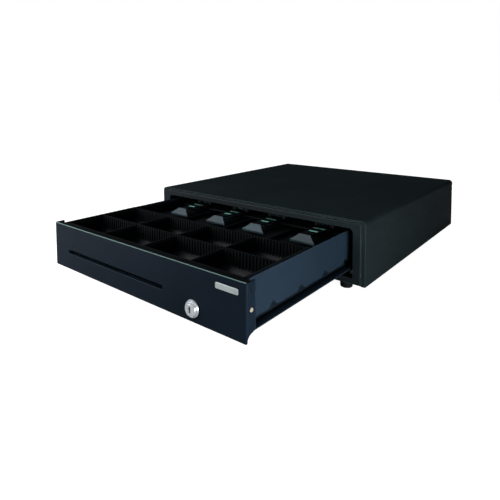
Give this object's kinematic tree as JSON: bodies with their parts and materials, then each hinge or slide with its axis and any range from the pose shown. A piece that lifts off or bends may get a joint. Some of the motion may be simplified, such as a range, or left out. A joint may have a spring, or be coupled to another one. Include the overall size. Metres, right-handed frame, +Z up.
{
  "type": "cash drawer",
  "caption": "Electric point-of-sale cash drawer: sheet-steel cabinet, sliding till drawer with lock, media slot, coin cups and clipped note bays.",
  "frame": {"origin": "centre of the four counter-fixing holes on the underside of the base pan; the feet reach 9.5 mm below it", "axes": "+Y to the cabinet's back (the drawer opens towards -Y), +X to the right seen from the front, +Z up"},
  "size_m": [0.41, 0.6443, 0.1],
  "materials": {
    "cover_paint": "fine-textured black powder coat",
    "frame_paint": "satin black paint",
    "base_steel": "black painted sheet, semi-gloss",
    "zinc_steel": "zinc-plated, satin",
    "rubber_black": "matt",
    "nylon_pale": "natural nylon",
    "panel_paint": "smooth satin blue-black paint",
    "drawer_paint": "satin black paint",
    "badge_alu": "brushed",
    "lock_chrome": "polished nickel-chrome",
    "tray_plastic": "black injection-moulded plastic",
    "divider_plastic": "black injection-moulded plastic",
    "arm_plastic": "black, semi-gloss",
    "paddle_plastic": "grey, textured",
    "spring_steel": "drawn wire",
    "solenoid_coil": "taped coil in a plated frame",
    "switch_plastic": "moulded",
    "socket_plastic": "moulded",
    "brass_screw": "yellow-passivated, worn"
  },
  "bodies": {
    "cabinet": {"case_cover": "cover_paint", "cover_screws": "zinc_steel", "case_base": "base_steel", "front_frame": "frame_paint", "feet": "rubber_black", "foot_screws": "zinc_steel", "rail_right": "zinc_steel", "rail_left": "zinc_steel", "drawer_stops": "rubber_black", "front_axles": "zinc_steel", "latch_stage": "zinc_steel", "latch_pivot": "zinc_steel", "latch_spring": "spring_steel", "solenoid_body": "solenoid_coil", "drawer_switch": "switch_plastic", "ejector_housing": "switch_plastic", "ejector_spring": "spring_steel", "rear_socket": "socket_plastic", "lock_keeper": "zinc_steel"},
    "front_roller_r": {"front_roller_right": "nylon_pale"},
    "front_roller_l": {"front_roller_left": "nylon_pale"},
    "drawer": {"drawer_panel": "panel_paint", "panel_screws": "brass_screw", "badge": "badge_alu", "drawer_front_wall": "drawer_paint", "drawer_tub": "drawer_paint", "drawer_runner_right": "drawer_paint", "drawer_runner_left": "drawer_paint", "tray_ledges": "drawer_paint", "rear_axles": "zinc_steel", "striker": "zinc_steel", "lock_body": "lock_chrome", "lock_nut": "zinc_steel", "tray": "tray_plastic", "coin_dividers": "divider_plastic", "clip_blocks": "arm_plastic", "clip_pins": "zinc_steel", "clip_springs": "spring_steel"},
    "rear_roller_r": {"rear_roller_right": "nylon_pale"},
    "rear_roller_l": {"rear_roller_left": "nylon_pale"},
    "lock_core": {"lock_plug": "lock_chrome", "lock_cam": "zinc_steel", "cam_screw": "zinc_steel"},
    "latch": {"latch_lever": "zinc_steel"},
    "plunger": {"solenoid_plunger": "zinc_steel"},
    "ejector": {"ejector_plunger": "nylon_pale"},
    "clip_1": {"clip_arm_1": "arm_plastic", "clip_paddle_1": "paddle_plastic"},
    "clip_2": {"clip_arm_2": "arm_plastic", "clip_paddle_2": "paddle_plastic"},
    "clip_3": {"clip_arm_3": "arm_plastic", "clip_paddle_3": "paddle_plastic"},
    "clip_4": {"clip_arm_4": "arm_plastic", "clip_paddle_4": "paddle_plastic"}
  },
  "joints": [
    {"name": "drawer_slide", "type": "slide", "parent": "cabinet", "child": "drawer", "axis": [0, -1, 0], "range_m": [-0.225, 0]},
    {"name": "front_roller_spin_right", "type": "hinge", "parent": "cabinet", "child": "front_roller_r", "pos_m": [0.1805, -0.192, 0.0137], "axis": [1, 0, 0], "continuous": true},
    {"name": "front_roller_spin_left", "type": "hinge", "parent": "cabinet", "child": "front_roller_l", "pos_m": [-0.1805, -0.192, 0.0137], "axis": [1, 0, 0], "continuous": true},
    {"name": "rear_roller_spin_right", "type": "hinge", "parent": "drawer", "child": "rear_roller_r", "pos_m": [0.1938, -0.1298, 0.027], "axis": [1, 0, 0], "continuous": true},
    {"name": "rear_roller_spin_left", "type": "hinge", "parent": "drawer", "child": "rear_roller_l", "pos_m": [-0.1938, -0.1298, 0.027], "axis": [1, 0, 0], "continuous": true},
    {"name": "lock_turn", "type": "hinge", "parent": "drawer", "child": "lock_core", "pos_m": [0.1075, -0.4325, 0.0262], "axis": [0, 1, 0], "range_deg": [0, 90]},
    {"name": "clip_hinge_1", "type": "hinge", "parent": "drawer", "child": "clip_1", "pos_m": [-0.1185, -0.1795, 0.068], "axis": [-1, 0, 0], "range_deg": [0, 18], "stiffness_Nm_per_rad": 0.2, "springref_deg": -28.65},
    {"name": "clip_hinge_2", "type": "hinge", "parent": "drawer", "child": "clip_2", "pos_m": [-0.0337, -0.1795, 0.068], "axis": [-1, 0, 0], "range_deg": [0, 18], "stiffness_Nm_per_rad": 0.2, "springref_deg": -28.65},
    {"name": "clip_hinge_3", "type": "hinge", "parent": "drawer", "child": "clip_3", "pos_m": [0.0428, -0.1795, 0.068], "axis": [-1, 0, 0], "range_deg": [0, 18], "stiffness_Nm_per_rad": 0.2, "springref_deg": -28.65},
    {"name": "clip_hinge_4", "type": "hinge", "parent": "drawer", "child": "clip_4", "pos_m": [0.1294, -0.1795, 0.068], "axis": [-1, 0, 0], "range_deg": [0, 18], "stiffness_Nm_per_rad": 0.2, "springref_deg": -28.65},
    {"name": "latch_swing", "type": "hinge", "parent": "cabinet", "child": "latch", "pos_m": [0.016, 0.165, 0.0295], "axis": [0, 0, 1], "range_deg": [-11.5, 0]},
    {"name": "plunger_slide", "type": "slide", "parent": "cabinet", "child": "plunger", "axis": [0, 1, 0], "range_m": [-0.0061, 0]},
    {"name": "ejector_slide", "type": "slide", "parent": "cabinet", "child": "ejector", "axis": [0, -1, 0], "range_m": [-0.0201, 0], "deforming": ["ejector_spring"]}
  ],
  "couplings": [
    {"joint": "front_roller_spin_right", "follows": "drawer_slide", "rad_per_m": 181.82},
    {"joint": "front_roller_spin_left", "follows": "drawer_slide", "rad_per_m": 181.82},
    {"joint": "rear_roller_spin_right", "follows": "drawer_slide", "rad_per_m": 161.29},
    {"joint": "rear_roller_spin_left", "follows": "drawer_slide", "rad_per_m": 161.29},
    {"joint": "plunger_slide", "follows": "latch_swing", "m_per_rad": 0.03},
    {"joint": "ejector_slide", "follows": "drawer_slide", "ratio": 0.08889}
  ]
}
